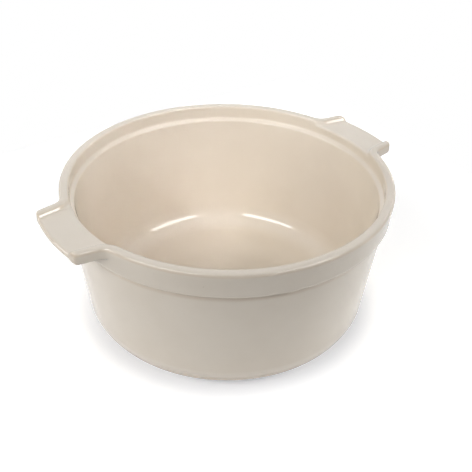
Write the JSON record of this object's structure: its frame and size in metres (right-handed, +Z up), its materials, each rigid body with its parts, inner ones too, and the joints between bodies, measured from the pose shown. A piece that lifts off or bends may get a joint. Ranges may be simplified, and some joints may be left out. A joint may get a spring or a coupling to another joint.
{
  "type": "souffle dish",
  "caption": "Round glazed stoneware souffle dish with a flared wall, a heavy rim collar, a lid ledge inside and flat side handles with raised edges.",
  "frame": {"origin": "middle of the dish on the plane that it stands on", "axes": "+X through the middle of the right handle, +Z up out of the open top"},
  "size_m": [0.2568, 0.224, 0.1053],
  "materials": {
    "glaze": "smooth glossy warm off-white glaze",
    "bare_clay": "unglazed fired stoneware, wiped clean and slightly rough"
  },
  "bodies": {
    "root": {"dish_base": "glaze", "foot_ring": "bare_clay", "side_wall": "glaze", "rim_collar": "glaze", "right_handle": "glaze", "left_handle": "glaze"}
  },
  "joints": []
}
